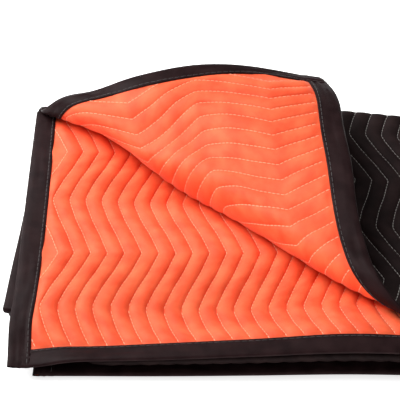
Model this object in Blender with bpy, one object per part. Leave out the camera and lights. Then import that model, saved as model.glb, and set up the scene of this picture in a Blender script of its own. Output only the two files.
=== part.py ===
"""A quilted moving pad, folded into eight layers, with one corner of the top layer turned back.

The pad is laid out flat first: u runs across its width, v along its length and w through its
thickness, with the orange side at +w.  Every piece is then folded by the same rule:
  1. in length, front to back and front again, into four layers;
  2. in width, once, so that four more layers lie mirrored beneath;
  3. the front left corner of the top layer is rolled back and laid over the stack.
The sizes below are measured from the front left corner of the folded pad.  At the end the pad is
moved so that the origin lies on its flat underside, below PAD_MIDDLE.  Metres, +Z up.
"""
import math

import bmesh
import bpy
from mathutils import Vector

# ---------------------------------------------------------------- driving dimensions
PAD_WIDTH = 1.80            # finished width of the pad, u
PAD_LENGTH = 1.98           # finished length of the pad, v
LAYER_PITCH = 0.0054        # height that each folded layer takes
FACE_GAP = 0.0003           # between the two faces, and beside each binding
EDGE_GAP = 0.0008           # between a face's edge and the inside of its binding
CREST = 0.00245             # height of a puffed channel above the pad's middle
SEAM = 0.00130              # height of the face at a line of quilting
PRESSED = 0.00105           # height of the face under a binding
TURNED = 0.00180            # height of the face where the cloth turns
REST_CREST = 0.00260        # flat underside of the lowest layer

QUILT_PITCH = 0.0234        # between two quilting lines
QUILT_SWING = 0.0370        # sideways swing of a quilting line, peak to peak
QUILT_ROW = 0.1055          # along the pad between two points of the zigzag
FIRST_ROW = 0.0956          # from the front edge to the first points, which point left
FIRST_LINE = 0.0534         # from the left edge to the middle of the first whole line

BINDING_WIDTH = 0.028       # width of the binding on each face
BINDING_CLOTH = 0.00095     # thickness of the binding
BINDING_HEIGHT = 0.00260    # height of its outside above the pad's middle

LEVELS = {                  # each run's height above the fold in width, in layer pitches
    "second": 2.5,
    "third": 1.5,
    "fourth": 0.5,
    "top": 3.5,
}
REAR = 0.510                # where the layers turn at the rear
REAR_SLACK = 0.002          # the outer rear turn stands this much behind the inner one
FRONT_TURN = 0.026          # centre of the front turns
FRONT_SETBACK = 0.085       # how much further back the front turns lie at the left edge
SETBACK_REACH = 0.13        # across the pad, where that setback ends
TOP_SETBACK = 0.050         # front edge of the top layer
FOLD_STRETCH = 1.25         # the fold in width is a loose one: rounder towards the right
FOLD_BULGE = 0.003          # and standing off by this much
EVEN_EDGE = (0.10, 0.60)    # layers lie edge on edge this near a long edge, and slide beyond it
HALF_CHANGE = 0.30          # width over which the upper half's front edges become the lower's
LOWER_LEAD = 0.007          # how far the lower half's front edge stands forward
LOWEST_SETBACK = 0.012      # front edge of the lowest layer
CORNER_DROOP = 0.018        # how far the second layer's corner sinks past the front turns
DROOP_REACH = (0.20, 0.090) # how far that reaches across and back
DROOP_CLEAR = 0.012         # in front of the front turns, where it begins
SLIP_TABLE = {              # sideways push near the left edge: (upper half, lower half)
    "third": (-0.013, -0.008),
    "front": (-0.013, -0.008),
    "fourth": (-0.013, -0.008),
    "second": (0.0, 0.045),
    "top": (0.0, 0.045),
}
SLIP_WIDTH = 0.35           # across the pad, where that push ends
SLIP_DEPTH = 0.30           # from front to rear, over which it dies away
INNER_SLIP_START = 0.05     # the inner runs keep their whole push this far back

# Turned-back corner: the contact line runs from the rear left to the front of the top layer.
CONTACT_REAR = (0.006, 0.506)
CONTACT_FRONT = (0.556, 0.050)
ROLL_TABLE = (              # along the contact line: (place, roll radius, line shifted back)
    (0.00, 0.0105, 0.000),
    (0.20, 0.0365, 0.030),
    (0.45, 0.0225, 0.007),
    (0.75, 0.0272, 0.007),
    (1.00, 0.0300, 0.007),
)
SETTLE_LENGTH = 0.34        # over which the turned corner sinks from the roll to its rest
CORNER_RISE = 0.045         # slope at which its stiff tip stands off the stack

# How finely the cloth is divided
FOLD_COLUMNS = (0.0, 0.0021, 0.0043, 0.0085, 0.0140, 0.0212, 0.0300)     # each side of the fold
PLAIN_COLUMNS = 6           # across the lower half, which lies flat
TURN_PARTS = {"rear_inner": 4, "front": 4, "rear_outer": 6}
ROLL_PARTS = 5              # rows to each quilting row in the roll
DROOP_ROWS = (0.045, 0.060, 0.076, 0.120)    # near the front left corner, which sinks
PINCH_ROWS = (0.007, 0.014, 0.021, 0.028, 0.035, 0.042)    # at the tight end of the roll
PINCH_REACH = 0.060
RISE = 0.004                # from a binding to the full height of the face
SHOWN_WIDTH = 0.56          # quilting is raised as far as this from the left edge
BLACK_SHOWS = 0.44          # right of here the top layer shows its black side
UNDER_CORNER = 0.02         # quilting runs on this far under the turned corner
ROLL_MARGIN = (0.015, 0.025)    # fine rows before and after the roll
FADE = 0.030                # width over which the zigzag straightens out at a border
COARSE_STEP = 8             # every so many columns, one runs the whole length
BINDING_ROUND = 0.0012      # rounding of the binding's outer corner
BESIDE = 0.006              # a place just beside an edge, to tell what it borders on

PAD_MIDDLE = (0.45, 0.27)   # from the front left corner to the place above the origin

HALF_WIDTH = PAD_WIDTH / 2
STACK_MIDDLE = 4 * LAYER_PITCH - (LAYER_PITCH / 2 - REST_CREST)
EDGE = BINDING_CLOTH + EDGE_GAP
BINDING_LINE = BINDING_WIDTH + FACE_GAP


def smooth(value):
    """0 below 0, 1 above 1, and a soft step between."""
    value = min(1.0, max(0.0, value))
    return value * value * (3 - 2 * value)


# ---------------------------------------------------------------- the fold in length
def turn_length(layers):
    """Length of cloth in a half turn between levels that many layers apart."""
    return math.pi * layers * LAYER_PITCH / 2


def section_table():
    """The runs and turns of the pad along v: (name, first v, last v)."""
    lengths = (
        ("second", REAR),
        ("rear_inner", turn_length(1)),
        ("third", REAR - FRONT_TURN),
        ("front", turn_length(1)),
        ("fourth", REAR + REAR_SLACK - FRONT_TURN),
        ("rear_outer", turn_length(3)),
    )
    table = []
    start = 0.0
    for name, length in lengths:
        table.append((name, start, start + length))
        start += length
    table.append(("top", start, PAD_LENGTH))
    return table


SECTIONS = section_table()
TOP_START = SECTIONS[-1][1]


def section_at(v):
    """The run or turn that holds v, and how far along it v lies, from 0 to 1."""
    for name, first, last in SECTIONS:
        if v <= last or name == "top":
            return name, (v - first) / (last - first)


def inset(u):
    """Distance from the nearer long edge."""
    return min(u, PAD_WIDTH - u)


def lower_share(u):
    """0 on the upper half of the pad, 1 on the lower half, with a soft change at the fold."""
    return smooth((u - HALF_WIDTH) / HALF_CHANGE + 0.5)


def front_turn_at(u):
    return FRONT_TURN + FRONT_SETBACK * (1 - smooth(inset(u) / SETBACK_REACH))


def second_edge_at(u):
    return -LOWER_LEAD * lower_share(u)


def top_edge_at(u):
    share = lower_share(u)
    return TOP_SETBACK * (1 - share) + LOWEST_SETBACK * share


def fold_length(u, v):
    """Place of the pad's middle: y, height above the fold in width, way the orange side faces."""
    name, along = section_at(v)
    pitch = LAYER_PITCH
    level = LEVELS.get(name, 0) * pitch
    front = front_turn_at(u)
    if name == "second":
        return second_edge_at(u) * (1 - along) + REAR * along, level, 90.0
    if name == "rear_inner":
        turn = math.radians(90 - 180 * along)
        radius = pitch / 2
        return REAR + radius * math.cos(turn), 2 * pitch + radius * math.sin(turn), 90 - 180 * along
    if name == "third":
        return REAR * (1 - along) + front * along, level, -90.0
    if name == "front":
        turn = math.radians(90 + 180 * along)
        radius = pitch / 2
        return front + radius * math.cos(turn), pitch + radius * math.sin(turn), -90 + 180 * along
    outer = REAR + REAR_SLACK
    if name == "fourth":
        return front * (1 - along) + outer * along, level, 90.0
    if name == "rear_outer":
        turn = math.radians(-90 + 180 * along)
        radius = 1.5 * pitch
        return outer + radius * math.cos(turn), 2 * pitch + radius * math.sin(turn), 90 + 180 * along
    return outer * (1 - along) + top_edge_at(u) * along, level, -90.0


# ---------------------------------------------------------------- droops and sideways slips
def droop(u, v, y):
    """How far the corner of the second layer sinks in front of the turns beneath it."""
    if section_at(v)[0] != "second" or u > HALF_WIDTH:
        return 0.0
    across, back = DROOP_REACH
    ahead = smooth((front_turn_at(u) - DROOP_CLEAR - y) / back)
    return CORNER_DROOP * (1 - smooth(u / across)) * ahead


def slip(u, v, y):
    """How far a layer is pushed sideways near the left edge."""
    name, _ = section_at(v)
    if name not in SLIP_TABLE:
        return 0.0
    push = SLIP_TABLE[name][u > HALF_WIDTH]
    start = INNER_SLIP_START if name in ("third", "front", "fourth") else 0.0
    near_edge = 1 - smooth(inset(u) / SLIP_WIDTH)
    return push * near_edge * (1 - smooth((y - start) / SLIP_DEPTH))


# ---------------------------------------------------------------- the turned-back corner
LINE_START = Vector(CONTACT_REAR)
LINE_LENGTH = (Vector(CONTACT_FRONT) - LINE_START).length
LINE_WAY = (Vector(CONTACT_FRONT) - LINE_START).normalized()
LINE_BACK = Vector((-LINE_WAY.y, LINE_WAY.x))       # level, square to the line, to the rear right


def table_value(place, column):
    """A smooth curve through one column of ROLL_TABLE."""
    rows = ROLL_TABLE
    place = min(rows[-1][0], max(rows[0][0], place))
    index = max(i for i in range(len(rows) - 1) if rows[i][0] <= place)
    before, after = rows[index], rows[index + 1]
    span = after[0] - before[0]
    t = (place - before[0]) / span

    def slope(i):
        low, high = max(0, i - 1), min(len(rows) - 1, i + 1)
        return (rows[high][column] - rows[low][column]) / (rows[high][0] - rows[low][0])

    start, end = slope(index) * span, slope(index + 1) * span
    a, b = before[column], after[column]
    return (a * (1 + 2 * t) * (1 - t) ** 2 + start * t * (1 - t) ** 2
            + b * t * t * (3 - 2 * t) + end * t * t * (t - 1))


def past_contact(x, y):
    """Place along the contact line, roll radius, line shift, and cloth past the line."""
    offset = Vector((x, y)) - LINE_START
    along = offset.dot(LINE_WAY)
    place = along / LINE_LENGTH
    radius = table_value(place, 1)
    shift = table_value(place, 2)
    return along, radius, shift, shift - offset.dot(LINE_BACK)


def top_middle(x, y):
    """The top layer's middle: flat behind the contact line, rolled and laid back before it."""
    along, radius, shift, cloth = past_contact(x, y)
    base = STACK_MIDDLE + LEVELS["top"] * LAYER_PITCH
    if cloth <= 0:
        return Vector((x, y, base))
    turn = min(math.pi, cloth / radius)
    spare = max(0.0, cloth - math.pi * radius)
    forward = radius * math.sin(turn) - shift - spare
    rise = radius * (1 - math.cos(turn))
    if spare > 0:
        settle = math.exp(-(spare / SETTLE_LENGTH) ** 2)
        drop = 2 * radius - LAYER_PITCH
        rise = LAYER_PITCH + drop * settle + CORNER_RISE * spare
    level = LINE_START + LINE_WAY * along - LINE_BACK * forward
    return Vector((level.x, level.y, base + rise))


def roll_back(x, y, w):
    """Place of a point of the top layer, set off square to the layer's middle by w."""
    step = 0.0005
    across = top_middle(x + step, y) - top_middle(x - step, y)
    back = top_middle(x, y + step) - top_middle(x, y - step)
    return top_middle(x, y) - across.cross(back).normalized() * w


# ---------------------------------------------------------------- the whole fold
def fold(u, v, w):
    """Carry a point of the flat pad to its place in the folded one."""
    y, height, facing = fold_length(u, v)
    facing = math.radians(facing)
    spread = smooth((inset(u) - EVEN_EDGE[0]) / EVEN_EDGE[1])
    second = LEVELS["second"] * LAYER_PITCH
    quarter = math.pi / 2 * height
    shift = math.pi / 2 * (height - second) * (spread - 1)
    centre = HALF_WIDTH - math.pi / 2 * second
    side = slip(u, v, y)
    sunk = droop(u, v, y)
    out_y = w * math.cos(facing)
    out_h = w * math.sin(facing)
    if u <= HALF_WIDTH - quarter:
        x = centre + quarter - (HALF_WIDTH - u) + shift + side
        if section_at(v)[0] == "top":
            return roll_back(x, y, w)
        return Vector((x, y + out_y, STACK_MIDDLE + height + out_h - sunk))
    if u >= HALF_WIDTH + quarter:
        x = centre + quarter - (u - HALF_WIDTH) + shift + side
        return Vector((x, y + out_y, STACK_MIDDLE - height - out_h - sunk))
    turn = (u - HALF_WIDTH + quarter) / height
    radius = height + out_h
    x = centre + shift + (radius * FOLD_STRETCH + FOLD_BULGE) * math.sin(turn)
    return Vector((x, y + out_y, STACK_MIDDLE + radius * math.cos(turn) - sunk))


# ---------------------------------------------------------------- the flat quilted faces
def zigzag(u, v):
    """Sideways swing of the quilting at v, which dies away at the bindings and the fold."""
    v = min(PAD_LENGTH - BINDING_LINE, max(BINDING_LINE, v))
    rows = (v - FIRST_ROW) / QUILT_ROW
    wave = 2 * abs((rows / 2) % 1.0 - 0.5)          # 1 on points to the left, 0 to the right
    room = min(u - BINDING_LINE, HALF_WIDTH - FOLD_COLUMNS[-1] - u)
    return QUILT_SWING * (0.5 - wave) * min(1.0, max(0.0, room / FADE))


def face_columns():
    """Columns of the flat faces: (u, kind)."""
    columns = [(EDGE, "edge"), (BINDING_WIDTH / 2, "middle"), (BINDING_LINE, "edge")]
    u = FIRST_LINE - QUILT_PITCH / 2
    kind = "crest"
    while u < HALF_WIDTH - FOLD_COLUMNS[-1] - BESIDE:
        columns.append((u, kind))
        kind = "seam" if kind == "crest" else "crest"
        u += QUILT_PITCH / 2
    last = FOLD_COLUMNS[-1]
    for offset in [-x for x in reversed(FOLD_COLUMNS[1:])] + list(FOLD_COLUMNS):
        columns.append((HALF_WIDTH + offset, "turn" if abs(offset) < last else "plain"))
    spread = (HALF_WIDTH - last - BINDING_LINE) / PLAIN_COLUMNS
    for step in range(1, PLAIN_COLUMNS):
        columns.append((HALF_WIDTH + last + spread * step, "plain"))
    columns.append((PAD_WIDTH - BINDING_LINE - RISE, "plain"))
    columns.append((PAD_WIDTH - BINDING_LINE, "edge"))
    columns.append((PAD_WIDTH - EDGE, "edge"))
    return columns


def column_swing(index, v):
    u, kind = COLUMNS[index]
    return zigzag(u, v) if kind in ("crest", "seam") else 0.0


def face_rows():
    """Rows of the flat faces: (v, kind)."""
    back = PAD_LENGTH - BINDING_LINE
    rows = [(EDGE, "edge"), (BINDING_LINE, "edge"), (BINDING_LINE + RISE, "plain")]
    rows += [(v, "droop") for v in DROOP_ROWS]
    for name, first, last in SECTIONS:
        parts = TURN_PARTS.get(name, 0)
        rows += [(first + (last - first) * part / parts, "turn") for part in range(1, parts)]
        rows += [(place, "plain") for place in (first, last) if parts]
    rows += [(TOP_START + step, "pinch") for step in PINCH_ROWS]
    count = int((back - FIRST_ROW) / QUILT_ROW)
    for index in range(count + 1):
        v = FIRST_ROW + QUILT_ROW * index
        if all(abs(v - other) > BESIDE for other, _ in rows):
            rows.append((v, "quilt"))
        for part in range(1, ROLL_PARTS):
            between = v + QUILT_ROW * part / ROLL_PARTS
            if TOP_START + PINCH_ROWS[-1] < between < back - RISE - BESIDE:
                rows.append((between, "roll"))
    rows += [(back - RISE, "plain"), (back, "edge")]
    rows += [(PAD_LENGTH - BINDING_WIDTH / 2, "middle"), (PAD_LENGTH - EDGE, "edge")]
    return sorted(rows)


COLUMNS = face_columns()
ROWS = face_rows()


def zone(u, v):
    """What a part of the pad does: "roll", "shows" or "hidden"."""
    name, _ = section_at(v)
    if u > SHOWN_WIDTH or name not in ("second", "top"):
        return "hidden"
    y, _, _ = fold_length(u, v)
    _, radius, _, cloth = past_contact(u, y)
    if name == "second":
        return "shows" if cloth > -UNDER_CORNER else "hidden"
    if -ROLL_MARGIN[0] < cloth < math.pi * radius + ROLL_MARGIN[1]:
        return "roll"
    return "shows" if cloth > 0 or u > BLACK_SHOWS else "hidden"


def column_kept(index, v):
    """Whether a column's edge at v is needed."""
    u, kind = COLUMNS[index]
    if kind not in ("crest", "seam") or index % COARSE_STEP == COARSE_STEP // 2:
        return True
    u += column_swing(index, v)
    places = [v]
    if v < BINDING_LINE:
        places = [EDGE]
    if v > PAD_LENGTH - BINDING_LINE:
        places = [PAD_LENGTH - EDGE, PAD_LENGTH - BINDING_LINE - BESIDE]
    here = {zone(u + side, place) for side in (-BESIDE, BESIDE) for place in places}
    if places == [v]:
        return here != {"hidden"}
    droops = u < DROOP_REACH[0] and v < BINDING_LINE
    return droops or "roll" in here or (kind == "seam" and u < SHOWN_WIDTH)


def row_kept(index, u):
    """Whether a row's edge at u is needed."""
    v, kind = ROWS[index]
    places = [EDGE, BINDING_LINE, BINDING_LINE + 2 * BESIDE] if u < BINDING_LINE else [u]
    here = {zone(place, v + side) for side in (-BESIDE, BESIDE) for place in places}
    if kind == "pinch":
        return u < PINCH_REACH
    if kind == "roll":
        return "roll" in here
    if kind == "droop":
        return u < DROOP_REACH[0] + QUILT_SWING
    if kind == "middle":
        return u < SHOWN_WIDTH
    return kind != "quilt" or here != {"hidden"}


def spare_edges(bm, column_of, row_of):
    """Edges that add nothing: fine columns and rows where the cloth is hidden or nearly flat."""
    spare = []
    for edge in bm.edges:
        a, b = edge.verts
        if edge.is_boundary:
            continue
        if column_of[a] == column_of[b]:
            kept = column_kept(column_of[a], (a.co.y + b.co.y) / 2)
        else:
            kept = row_kept(row_of[a], (a.co.x + b.co.x) / 2)
        if not kept:
            spare.append(edge)
    return spare


def lies_on_a_straight_edge(vert):
    if len(vert.link_edges) != 2:
        return False
    first, second = (edge.other_vert(vert).co - vert.co for edge in vert.link_edges)
    return first.angle(second) > math.pi - 0.001


def split_along_the_roll(bm):
    """Triangles whose long sides run the way of the roll, alike in every piece."""
    bm.normal_update()
    for face in [face for face in bm.faces if len(face.verts) == 4 and abs(face.normal.z) > 0.5]:
        low = min(face.verts, key=lambda vert: vert.co.x + vert.co.y)
        high = max(face.verts, key=lambda vert: vert.co.x + vert.co.y)
        if not any(edge.other_vert(low) == high for edge in low.link_edges):
            bmesh.utils.face_split(face, low, high)
    bmesh.ops.triangulate(bm, faces=[face for face in bm.faces if len(face.verts) > 3])


def face_height(column, row):
    """Height of a face's outside above the pad's middle, by column and row."""
    kinds = {COLUMNS[column][1], ROWS[row][1]}
    if kinds & {"edge", "middle"}:
        return PRESSED
    if "turn" in kinds:
        return TURNED
    return SEAM if "seam" in kinds else CREST


def make_face(name, side, material, collection):
    """One quilted face: a flat grid thinned where it is hidden, thickened, puffed and folded."""
    last = FOLD_COLUMNS[-1]
    bm = bmesh.new()
    height = bm.verts.layers.float.new("height")
    bmesh.ops.create_grid(bm, x_segments=len(COLUMNS) - 1, y_segments=len(ROWS) - 1, size=1)
    column_of = {}
    row_of = {}
    for vert in bm.verts:
        column = round((vert.co.x + 1) / 2 * (len(COLUMNS) - 1))
        row = round((vert.co.y + 1) / 2 * (len(ROWS) - 1))
        v = ROWS[row][0]
        vert.co = (COLUMNS[column][0] + column_swing(column, v), v, 0)
        column_of[vert] = column
        row_of[vert] = row
        vert[height] = face_height(column, row)
    bmesh.ops.dissolve_edges(bm, edges=spare_edges(bm, column_of, row_of), use_verts=False)
    idle = [vert for vert in bm.verts if lies_on_a_straight_edge(vert)]
    bmesh.ops.dissolve_verts(bm, verts=idle)
    split_along_the_roll(bm)
    raised = bmesh.ops.extrude_face_region(bm, geom=bm.faces[:], use_keep_orig=True)
    for vert in bm.verts:
        vert.co.z = FACE_GAP / 2
    for item in raised["geom"]:
        if isinstance(item, bmesh.types.BMVert):
            lowest = side < 0 and item.co.x > HALF_WIDTH + last and item.co.y > TOP_START
            full = lowest and round(item[height], 5) == CREST
            item.co.z = REST_CREST if full else item[height]
    for vert in bm.verts:
        vert.co.z *= side
    finish(bm, name, material, collection)


# ---------------------------------------------------------------- the bindings
def binding_section(halved):
    """The binding's cut, as (distance in from the pad's edge, height); halved legs can curl."""
    top, under = BINDING_HEIGHT, BINDING_HEIGHT - BINDING_CLOTH
    outer = [(BINDING_WIDTH, top), (BINDING_ROUND, top), (0.0, top / 2)]
    inner = [(BINDING_CLOTH, under), (BINDING_WIDTH, under)]
    if halved:
        outer.insert(1, (BINDING_WIDTH / 2, top))
        inner.insert(1, (BINDING_WIDTH / 2, under))
    mirrored_outer = [(inward, -w) for inward, w in reversed(outer)]
    mirrored_inner = [(inward, -w) for inward, w in reversed(inner)]
    return outer + mirrored_outer + mirrored_inner + inner


def make_binding(name, stations, halved, place, material, collection):
    """A strip folded round one edge: its cut is swept along the flat edge, then folded."""
    bm = bmesh.new()
    section = binding_section(halved)
    ring = [bm.verts.new(place(stations[0], inward, w)) for inward, w in section]
    edges = [bm.edges.new((ring[i - 1], ring[i])) for i in range(len(ring))]
    bmesh.ops.contextual_create(bm, geom=edges)
    for before, after in zip(stations, stations[1:]):
        swept = bmesh.ops.extrude_edge_only(bm, edges=edges)["geom"]
        edges = [item for item in swept if isinstance(item, bmesh.types.BMEdge)]
        moved = [item for item in swept if isinstance(item, bmesh.types.BMVert)]
        bmesh.ops.translate(bm, vec=place(after, 0, 0) - place(before, 0, 0), verts=moved)
    bmesh.ops.contextual_create(bm, geom=edges)
    split_along_the_roll(bm)
    finish(bm, name, material, collection)


def station_rows(u):
    """Rows that a side binding shares with the faces, between its two ends."""
    return [v for i, (v, _) in enumerate(ROWS) if row_kept(i, u)][1:-1]


def station_columns(v):
    """Columns that an end binding shares with the faces, clear of the side bindings."""
    kept = [u + column_swing(i, v) for i, (u, _) in enumerate(COLUMNS) if column_kept(i, v)]
    return [u for u in kept if BINDING_LINE + FACE_GAP < u < PAD_WIDTH - BINDING_LINE - FACE_GAP]


def finish(bm, name, material, collection):
    """Turn the flat piece's faces outwards, fold it and make it an object."""
    bmesh.ops.recalc_face_normals(bm, faces=bm.faces[:])
    for vert in bm.verts:
        vert.co = fold(*vert.co) - Vector((*PAD_MIDDLE, 0))
    if bm.calc_volume(signed=True) < 0:
        bmesh.ops.reverse_faces(bm, faces=bm.faces[:])
    mesh = bpy.data.meshes.new(name)
    bm.to_mesh(mesh)
    bm.free()
    mesh.materials.append(material)
    collection.objects.link(bpy.data.objects.new(name, mesh))


def cloth_material(name, colour, roughness):
    material = bpy.data.materials.new(name)
    material.use_nodes = True
    shader = material.node_tree.nodes["Principled BSDF"]
    shader.inputs["Base Color"].default_value = (*colour, 1)
    shader.inputs["Roughness"].default_value = roughness
    shader.inputs["Metallic"].default_value = 0.0
    return material


def main():
    for item in list(bpy.data.objects):
        bpy.data.objects.remove(item, do_unlink=True)
    collection = bpy.data.collections.new("moving_pad")
    bpy.context.scene.collection.children.link(collection)
    orange = cloth_material("orange cotton", (0.90, 0.13, 0.035), 0.85)
    black = cloth_material("black cotton", (0.012, 0.010, 0.009), 0.85)
    tape = cloth_material("binding tape", (0.032, 0.026, 0.026), 0.60)

    make_face("orange_face", 1, orange, collection)
    make_face("black_face", -1, black, collection)

    left = [0.0] + station_rows(EDGE) + [PAD_LENGTH]
    right = [0.0] + station_rows(PAD_WIDTH) + [PAD_LENGTH]
    front = [BINDING_LINE] + station_columns(EDGE) + [PAD_WIDTH - BINDING_LINE]
    back = [BINDING_LINE] + station_columns(PAD_LENGTH - EDGE) + [PAD_WIDTH - BINDING_LINE]
    make_binding("side_binding_upper", left, True,
                 lambda at, inward, w: Vector((inward, at, w)), tape, collection)
    make_binding("side_binding_lower", right, False,
                 lambda at, inward, w: Vector((PAD_WIDTH - inward, at, w)), tape, collection)
    make_binding("end_binding_front", front, False,
                 lambda at, inward, w: Vector((at, inward, w)), tape, collection)
    make_binding("end_binding_back", back, True,
                 lambda at, inward, w: Vector((at, PAD_LENGTH - inward, w)), tape, collection)


main()
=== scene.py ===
import math

import bmesh
import bpy
import numpy as np
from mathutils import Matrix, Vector


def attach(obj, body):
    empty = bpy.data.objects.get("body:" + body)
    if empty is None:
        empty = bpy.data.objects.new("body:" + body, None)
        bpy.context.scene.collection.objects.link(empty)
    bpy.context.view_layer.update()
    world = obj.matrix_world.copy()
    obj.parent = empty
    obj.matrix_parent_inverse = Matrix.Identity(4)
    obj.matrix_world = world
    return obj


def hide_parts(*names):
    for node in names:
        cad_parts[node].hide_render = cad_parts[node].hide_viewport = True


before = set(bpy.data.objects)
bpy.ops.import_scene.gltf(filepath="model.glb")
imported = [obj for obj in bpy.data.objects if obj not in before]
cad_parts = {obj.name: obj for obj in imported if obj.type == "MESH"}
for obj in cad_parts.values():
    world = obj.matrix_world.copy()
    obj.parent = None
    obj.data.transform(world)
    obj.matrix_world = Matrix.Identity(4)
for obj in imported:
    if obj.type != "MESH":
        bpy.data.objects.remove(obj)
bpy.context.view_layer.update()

# A quilted moving pad, folded into eight layers, with one corner of its top layer turned back.
# The pad is laid out flat first: u runs across its width, v along its length and w through its
# thickness, with the orange side at +w.  It is folded three times across its length, in runs
# named top, second, third and fourth, and once across its width, at the right.  The half with
# the low values of u comes to lie on top.  Lengths are in metres.

# ---------------------------------------------------------------- the folded pad
PAD_WIDTH = 1.80
PAD_LENGTH = 1.98
HALF_WIDTH = PAD_WIDTH / 2
PAD_MIDDLE = (0.45, 0.27, 0.0)      # of the folded pad, from its front left corner
LAYER_PITCH = 0.0054
STACK_MIDDLE = 0.0215               # height of the middle of the fold in width
LEVELS = {"second": 2.5, "third": 1.5, "fourth": 0.5, "top": 3.5}     # in layers above that
INNER_RUNS = ("third", "front", "fourth")
REAR = 0.510                        # where the inner rear turn starts
REAR_SLACK = 0.002                  # of the outer rear turn past the inner one
FRONT_TURN = 0.026                  # where the front turn starts
FRONT_LEAD = 0.011                  # of the front turn, pulled forward
FRONT_SETBACK = 0.085               # of the front turn near the pad's long edges
SETBACK_REACH = 0.13
TOP_SETBACK = 0.050                 # of the top run's short edge in the upper half
LOWEST_SETBACK = 0.012              # and in the lower half
LOWER_LEAD = 0.0035                 # of the lower half's front edge
HALF_CHANGE = 0.30                  # over which measures change from one half to the other
FOLD_STRETCH = 1.25                 # of the fold in width past a half circle
FOLD_BULGE = 0.003
EVEN_EDGE = (0.10, 0.60)            # so far in from a long edge layers lie even, and then part
CORNER_DROOP = 0.018                # of the second run's corner, which nothing carries
DROOP_REACH = (0.20, 0.090)         # across and back
DROOP_CLEAR = 0.012                 # from the front turn beneath it
INNER_SLIP = (-0.014, -0.008)       # to the right at the left edges: (upper half, lower half)
OUTER_SLIP = (0.0, 0.030)
INNER_SLIP_START = 0.05
SLIP_WIDTH = 0.35
SLIP_DEPTH = 0.30
TOP_SKEW = 0.060                    # of the top layer's front edge, to the right
SKEW_START = 0.45
SKEW_REACH = 0.42
PINCH_SHIFT = 0.007                 # of the rear end of the top layer's left edge, to the right
PINCH_REACH = 0.16
PINCH_REAR = (0.36, 0.10)           # where it starts, and over how much it grows
PINCH_TURN = 0.3                    # share of the outer rear turn before it starts
CONTACT_REAR = np.array((0.006, 0.506))      # ends of the line where the turned corner starts
CONTACT_FRONT = np.array((0.556, 0.050))
ROLL_TABLE = (                      # along that line: (place, roll radius, line shifted back)
    (0.00, 0.0085, 0.007),
    (0.20, 0.0365, 0.030),
    (0.45, 0.0225, 0.007),
    (0.75, 0.0272, 0.007),
    (1.00, 0.0300, 0.007),
)
SINK_LENGTH = 0.34                  # over which the turned corner sinks onto the stack
CORNER_RISE = 0.045                 # of the turned corner, for each metre of cloth past the roll
SETTLE_FULL = 0.037                 # height at which the stack's moves count in full
SETTLE_CAP = 0.045                  # height above which they grow no more
FLAT_BELOW = 0.0020                 # height under which cloth is pressed flat on the ground
SLOPE_STEP = 0.0004
SETTLE_X = (-0.01, 0.03, 0.1, 0.2, 0.32, 0.45, 0.6, 0.9)
SETTLE_Y = (-0.01, 0.03, 0.07, 0.12, 0.22, 0.35, 0.52)
SETTLE_MOVES = [                    # of the stack, in millimetres: a row for each x
    [(-10, 1, 10), (-10, 0, 3), (-8, 1, -3), (-6, 1, -6), (-7, 0, -7), (-7, 0, -5), (-5, -9, 0)],
    [(-5, -1, 5), (-4, 0, -6), (-4, 0, -3), (-1, 0, 0), (0, 0, -5), (0, 0, 0), (-3, -9, 0)],
    [(-4, 0, 0), (-3, 0, -8), (-3, 0, -5), (-1, 0, 1), (-1, -1, -5), (0, 0, -1), (0, -8, 0)],
    [(-3, 0, 1), (-3, 0, -1), (-1, -1, -8), (0, -1, -6), (0, -1, -4), (-2, -1, -11), (0, -6, 0)],
    [(-2, 1, 7), (-2, 1, 8), (-1, 0, -2), (0, 0, -7), (0, 0, -2), (-2, 0, -5), (0, -6, -1)],
    [(-2, 3, 11), (-2, 3, 18), (-1, 2, 9), (0, 1, 1), (0, 1, -1), (-1, -3, -3), (0, -9, -3)],
    [(-2, 1, 10), (-1, 1, 11), (-1, 1, 9), (0, 1, 4), (0, -4, 0), (-1, -12, -3), (0, -26, -4)],
    [(0, 0, 0), (0, 0, 0), (0, 0, 0), (0, 0, 0), (0, -5, 0), (0, -14, 0), (0, -30, 0)],
]
FLAP_ALONG = (0, 0.12, 0.28, 0.45, 0.62, 0.8, 1)     # shares of the contact line
FLAP_CLOTH = (0, 0.045, 0.09, 0.15, 0.23, 0.33, 0.45)
FLAP_MOVES = [                      # of the turned corner, in millimetres
    [(0, 0, 0), (0, 0, 0), (0, 0, 0), (0, 0, 0), (0, 0, 0), (0, 0, 0), (0, 0, 0)],
    [(0, 0, 0), (-5, 5, 6), (2, 9, -4), (-1, 6, 3), (3, 13, -1), (0, 14, -5), (-7, 6, -12)],
    [(0, 0, 0), (6, -4, 12), (14, 8, -4), (4, 16, 16), (4, 31, 14), (0, 30, -3), (-8, 7, -18)],
    [(0, 0, 0), (3, 8, 18), (-3, 17, 22), (-11, 28, 40), (-1, 33, 38), (-1, 21, 16), (5, 2, -6)],
    [(0, 0, 0), (-10, 14, 5), (-13, 19, 10), (-13, 21, 28), (0, 22, 39), (31, 16, 44), (40, 3, 28)],
    [(0, 0, 0), (-12, 6, 0), (-16, 11, -3), (-8, 12, 13), (24, 16, 37), (51, 12, 55), (77, 5, 68)],
    [(0, 0, 0), (10, -2, -16), (4, 10, -11), (21, 12, 6), (43, 10, 32), (76, 8, 68), (116, 7, 111)],
]

LINE_LENGTH = np.linalg.norm(CONTACT_FRONT - CONTACT_REAR)
LINE_WAY = (CONTACT_FRONT - CONTACT_REAR) / LINE_LENGTH
LINE_BACK = np.array((-LINE_WAY[1], LINE_WAY[0]))


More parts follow.
